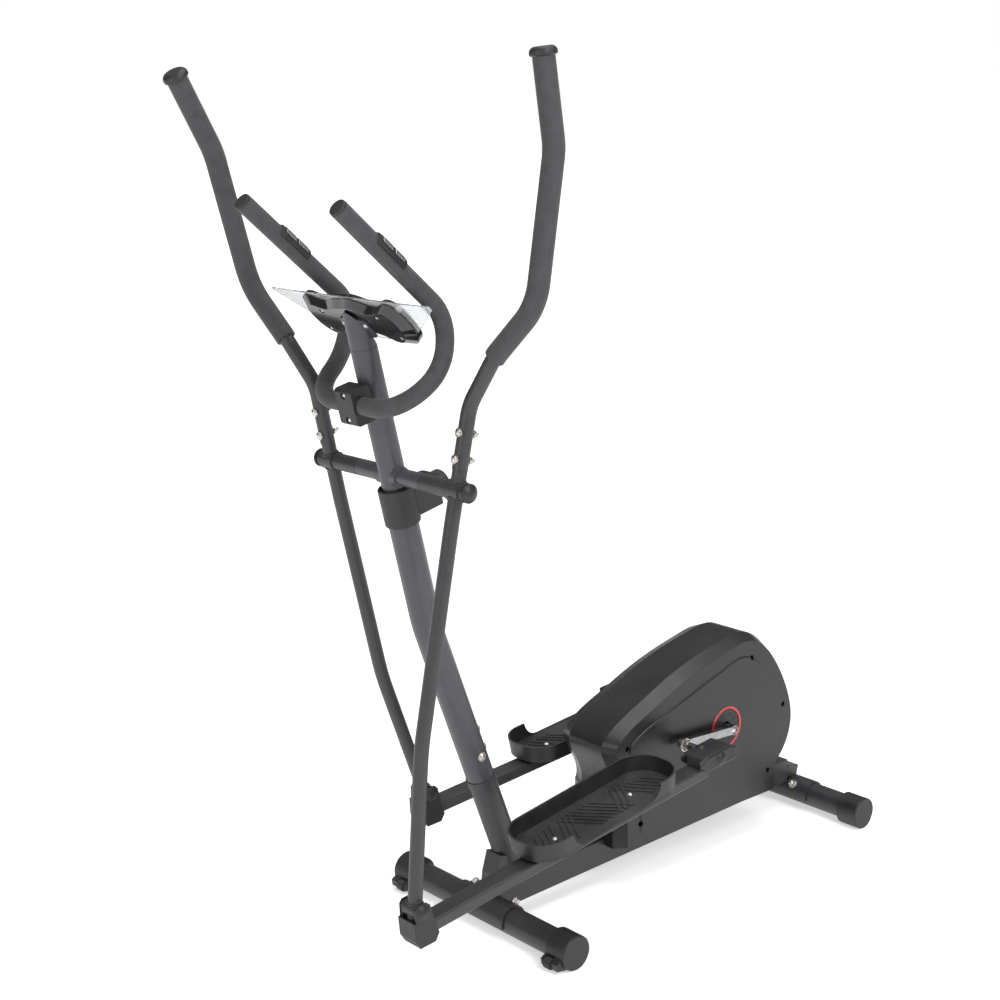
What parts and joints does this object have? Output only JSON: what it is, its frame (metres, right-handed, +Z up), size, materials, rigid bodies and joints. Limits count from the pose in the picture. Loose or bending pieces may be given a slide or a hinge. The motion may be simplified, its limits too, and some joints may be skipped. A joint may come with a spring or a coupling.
{
  "type": "elliptical_trainer",
  "caption": "Elliptical trainer with front mast, swinging arms, fixed pulse handlebar, small console, ribbed foot pedals and rear belt drive in a black housing.",
  "frame": {"origin": "centre of the overall box on the floor, midway between the front and rear extremes", "axes": "+X forward (the way the user faces), +Y to the user's left, +Z up"},
  "size_m": [1.305, 0.614, 1.5423],
  "materials": {
    "frame_paint": "satin charcoal powder coat",
    "arm_paint": "satin charcoal powder coat",
    "foam": "matt closed-cell foam",
    "black_plastic": "fine textured black plastic",
    "housing_plastic": "semi-gloss black plastic",
    "pedal_plastic": "ribbed black plastic",
    "gloss_black": "glossy black plastic",
    "screen_glass": "liquid crystal window",
    "zinc": "zinc plated steel",
    "steel": "turned steel",
    "sensor_chrome": "polished",
    "red_ring": "gloss red",
    "belt_rubber": "ribbed drive belt",
    "iron": "cast flywheel",
    "wheel_rubber": "hard rubber"
  },
  "bodies": {
    "frame": {"bar_end_plugs": "black_plastic", "base_frame": "frame_paint", "console_back": "gloss_black", "console_bracket": "frame_paint", "console_front": "gloss_black", "console_screen": "screen_glass", "crank_bearings": "steel", "drive_belt": "belt_rubber", "flywheel_axle": "steel", "frame_bolts": "zinc", "front_caps": "black_plastic", "front_stabiliser": "frame_paint", "handlebar_clamp": "black_plastic", "handlebar_foams": "foam", "handlebar_tube": "steel", "housing_left": "housing_plastic", "housing_right": "housing_plastic", "hub_covers": "black_plastic", "hub_rings": "red_ring", "lower_post": "frame_paint", "magnet_bracket": "frame_paint", "panel_screws": "zinc", "pivot_shaft": "steel", "post_covers": "black_plastic", "pulse_plates": "sensor_chrome", "pulse_sensors": "black_plastic", "rear_stabiliser": "frame_paint", "upper_post": "frame_paint"},
    "crank_set": {"crank_axle": "steel", "drive_pulley": "black_plastic", "crank_left": "steel", "crank_right": "steel", "crank_nuts": "zinc"},
    "flywheel_body": {"flywheel": "iron"},
    "tension_knob_body": {"tension_knob": "black_plastic"},
    "arm_left": {"lower_arm_left": "arm_paint", "upper_arm_left": "arm_paint", "arm_grip_left": "foam", "arm_caps_left": "black_plastic", "arm_bolts_left": "zinc"},
    "bar_left": {"pedal_bar_left": "arm_paint", "pedal_left": "pedal_plastic", "bar_covers_left": "black_plastic", "bar_bolts_left": "zinc"},
    "wheel_left": {"transport_wheel_left": "wheel_rubber"},
    "levelling_left": {"levelling_cap_left": "black_plastic"},
    "arm_right": {"lower_arm_right": "arm_paint", "upper_arm_right": "arm_paint", "arm_grip_right": "foam", "arm_caps_right": "black_plastic", "arm_bolts_right": "zinc"},
    "bar_right": {"pedal_bar_right": "arm_paint", "pedal_right": "pedal_plastic", "bar_covers_right": "black_plastic", "bar_bolts_right": "zinc"},
    "wheel_right": {"transport_wheel_right": "wheel_rubber"},
    "levelling_right": {"levelling_cap_right": "black_plastic"},
    "button_left": {"console_button_left": "black_plastic"},
    "button_middle": {"console_button_middle": "black_plastic"},
    "button_right": {"console_button_right": "black_plastic"}
  },
  "joints": [
    {"name": "crank_turn", "type": "hinge", "parent": "frame", "child": "crank_set", "pos_m": [-0.33352, 0, 0.257], "axis": [0, 1, 0], "range_deg": [0, 180]},
    {"name": "arm_swing_left", "type": "hinge", "parent": "frame", "child": "arm_left", "pos_m": [0.43048, 0.166, 0.868], "axis": [0, 1, 0], "range_deg": [0, 24.48]},
    {"name": "arm_swing_right", "type": "hinge", "parent": "frame", "child": "arm_right", "pos_m": [0.43048, -0.166, 0.868], "axis": [0, 1, 0], "range_deg": [-24.48, 0]},
    {"name": "bar_pivot_left", "type": "hinge", "parent": "arm_left", "child": "bar_left", "pos_m": [0.52995, 0.166, 0.18971], "axis": [0, 1, 0], "range_deg": [-27.25, 0]},
    {"name": "bar_pivot_right", "type": "hinge", "parent": "arm_right", "child": "bar_right", "pos_m": [0.24109, -0.166, 0.20913], "axis": [0, 1, 0], "range_deg": [0, 27.25]},
    {"name": "flywheel_spin", "type": "hinge", "parent": "frame", "child": "flywheel_body", "pos_m": [-0.14852, 0.022, 0.2], "axis": [0, 1, 0], "range_deg": [0, 1103.5]},
    {"name": "tension_turn", "type": "hinge", "parent": "frame", "child": "tension_knob_body", "pos_m": [0.33177, 0, 0.83815], "axis": [-0.9713, 0, 0.2381], "range_deg": [0, 300]},
    {"name": "wheel_roll_left", "type": "hinge", "parent": "frame", "child": "wheel_left", "pos_m": [0.26698, 0.204, 0.014], "axis": [0, 1, 0], "continuous": true},
    {"name": "levelling_turn_left", "type": "hinge", "parent": "frame", "child": "levelling_left", "pos_m": [-0.62152, 0.179, 0.033], "axis": [0, 1, 0], "range_deg": [-40, 40]},
    {"name": "wheel_roll_right", "type": "hinge", "parent": "frame", "child": "wheel_right", "pos_m": [0.26698, -0.204, 0.014], "axis": [0, 1, 0], "continuous": true},
    {"name": "levelling_turn_right", "type": "hinge", "parent": "frame", "child": "levelling_right", "pos_m": [-0.62152, -0.179, 0.033], "axis": [0, 1, 0], "range_deg": [-40, 40]},
    {"name": "press_left", "type": "slide", "parent": "frame", "child": "button_left", "axis": [0.7071, 0, -0.7071], "range_m": [0, 0.0012], "stiffness_N_per_m": 300},
    {"name": "press_middle", "type": "slide", "parent": "frame", "child": "button_middle", "axis": [0.7071, 0, -0.7071], "range_m": [0, 0.0012], "stiffness_N_per_m": 300},
    {"name": "press_right", "type": "slide", "parent": "frame", "child": "button_right", "axis": [0.7071, 0, -0.7071], "range_m": [0, 0.0012], "stiffness_N_per_m": 300}
  ],
  "couplings": [
    {"joint": "arm_swing_left", "follows": "crank_turn", "ratio": 0.13544},
    {"joint": "arm_swing_right", "follows": "crank_turn", "ratio": -0.13544},
    {"joint": "bar_pivot_left", "follows": "crank_turn", "ratio": -0.15081},
    {"joint": "bar_pivot_right", "follows": "crank_turn", "ratio": 0.15081},
    {"joint": "flywheel_spin", "follows": "crank_turn", "ratio": 6.125}
  ]
}
